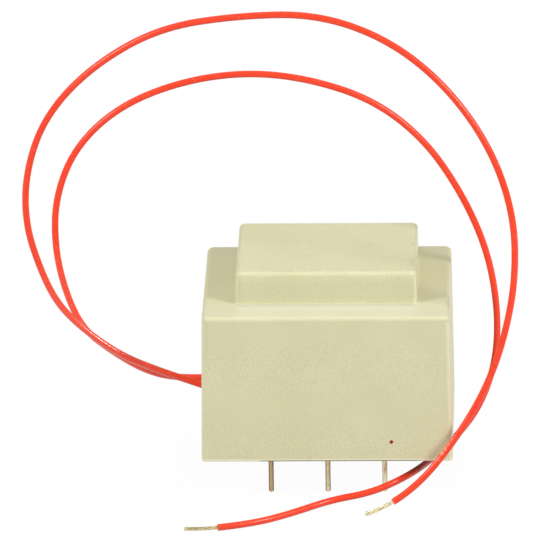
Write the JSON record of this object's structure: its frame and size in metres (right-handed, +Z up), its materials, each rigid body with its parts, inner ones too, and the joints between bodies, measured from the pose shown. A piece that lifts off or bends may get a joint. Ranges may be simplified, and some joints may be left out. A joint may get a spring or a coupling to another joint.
{
  "type": "isolation transformer",
  "caption": "Potted isolation transformer for a circuit board: stepped moulded case on round pins, with an EI core, a split coil and flying primary leads.",
  "frame": {"origin": "middle of the board seat, in the plane of the case's lower rim", "axes": "+Z up out of the board, +X to the right along the front row of pins, +Y from the front to the rear"},
  "size_m": [0.087, 0.0515, 0.0879],
  "materials": {
    "case_plastic": "moulded cream thermoplastic, faintly mottled",
    "potting_resin": "cast resin, level and dull",
    "core_steel": "stacked electrical steel",
    "bobbin_plastic": "moulded glass-filled nylon",
    "enamelled_wire": "enamelled copper wire",
    "tape": "polyester film tape",
    "tinned_wire": "tinned copper",
    "solder": "solder",
    "lead_insulation": "extruded soft insulation"
  },
  "bodies": {
    "root": {"case": "case_plastic", "potting_fill": "potting_resin", "core_e_stack": "core_steel", "core_i_stack": "core_steel", "bobbin": "bobbin_plastic", "primary_winding": "enamelled_wire", "secondary_winding_a": "enamelled_wire", "secondary_winding_b": "enamelled_wire", "primary_leadouts": "enamelled_wire", "secondary_leadouts": "enamelled_wire", "primary_tape": "tape", "secondary_barrier_tape": "tape", "secondary_tape": "tape", "pin_1": "tinned_wire", "pin_5": "tinned_wire", "pin_6": "tinned_wire", "pin_8": "tinned_wire", "pin_10": "tinned_wire", "tail_conductors": "tinned_wire", "lead_1_end": "tinned_wire", "lead_2_end": "tinned_wire", "solder_joints": "solder", "lead_1": "lead_insulation", "lead_2": "lead_insulation", "lead_1_tail": "lead_insulation", "lead_2_tail": "lead_insulation"}
  },
  "joints": []
}
